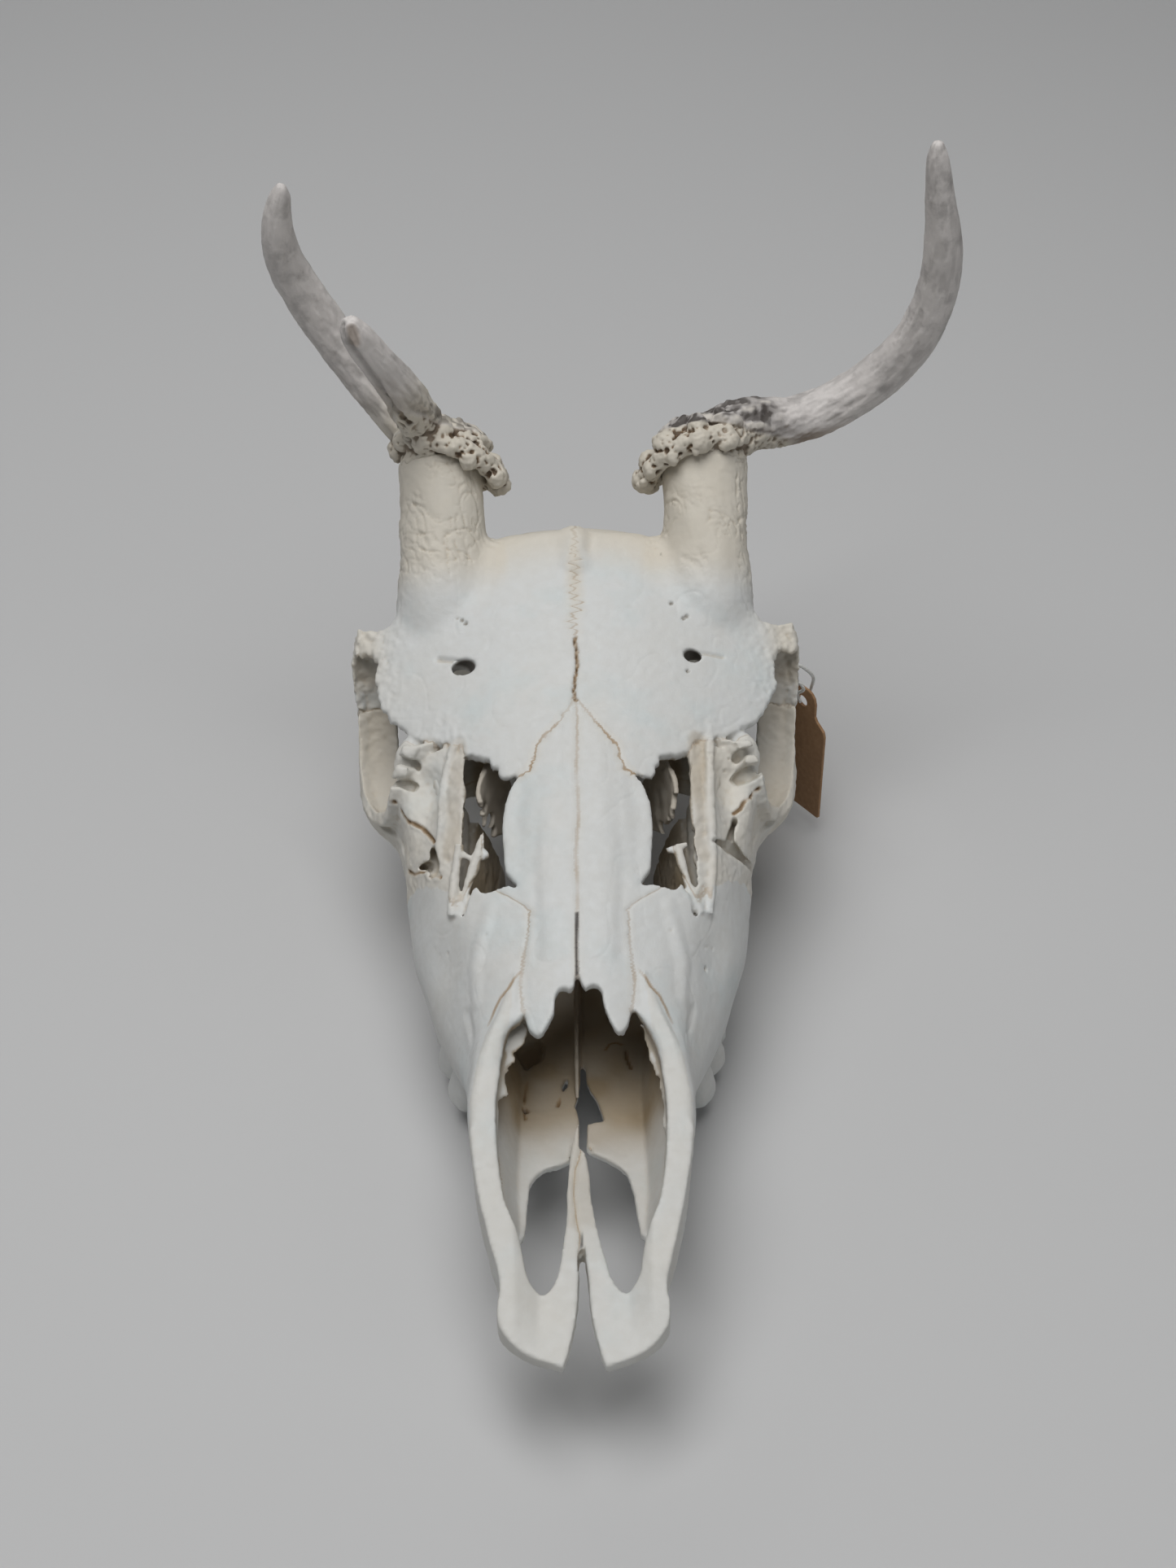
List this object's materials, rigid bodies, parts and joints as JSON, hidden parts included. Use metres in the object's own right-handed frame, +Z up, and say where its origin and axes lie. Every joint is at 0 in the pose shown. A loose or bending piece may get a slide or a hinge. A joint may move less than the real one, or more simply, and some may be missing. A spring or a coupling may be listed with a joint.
{
  "type": "fallow deer skull",
  "caption": "Life-size fallow deer skull with short spike antlers on pedicles, open orbits, a broken-edged nasal opening and a blank card tag on a string.",
  "frame": {"origin": "centre of the bounding box on the table plane that the last molars and the jugular processes stand on", "axes": "-Y to the nose tip, +Y to the back of the skull, the longest extent; +X to the animal's left; +Z up"},
  "size_m": [0.1722, 0.2576, 0.1871],
  "materials": {
    "nasal": "dry matt bone, cool off-white",
    "frontal": "dry matt bone, off-white",
    "maxilla": "dry matt bone with enamel teeth",
    "premaxilla": "dry matt bone, thin edges",
    "lacrimal": "dry matt bone, warm cream",
    "zygomatic": "dry matt bone, warm cream",
    "braincase": "dry matt bone, warm cream",
    "palatine": "dry matt bone",
    "vomer": "thin stained bone",
    "ethmoid": "thin brown-stained bone",
    "antler": "matt, mottled grey antler with a cream burr",
    "label_tag": "brown card, blank",
    "label_string": "white cotton string"
  },
  "bodies": {
    "root": {"antler_left_beam": "antler", "antler_right_beam": "antler", "antler_right_brow_tine": "antler", "braincase": "braincase", "ethmoid_left": "ethmoid", "ethmoid_right": "ethmoid", "frontal_left": "frontal", "frontal_right": "frontal", "label_string": "label_string", "label_tag": "label_tag", "lacrimal_left": "lacrimal", "lacrimal_right": "lacrimal", "maxilla_left": "maxilla", "maxilla_right": "maxilla", "nasal_left": "nasal", "nasal_right": "nasal", "palatine": "palatine", "premaxilla_left": "premaxilla", "premaxilla_right": "premaxilla", "vomer": "vomer", "zygomatic_left": "zygomatic", "zygomatic_right": "zygomatic"}
  },
  "joints": []
}
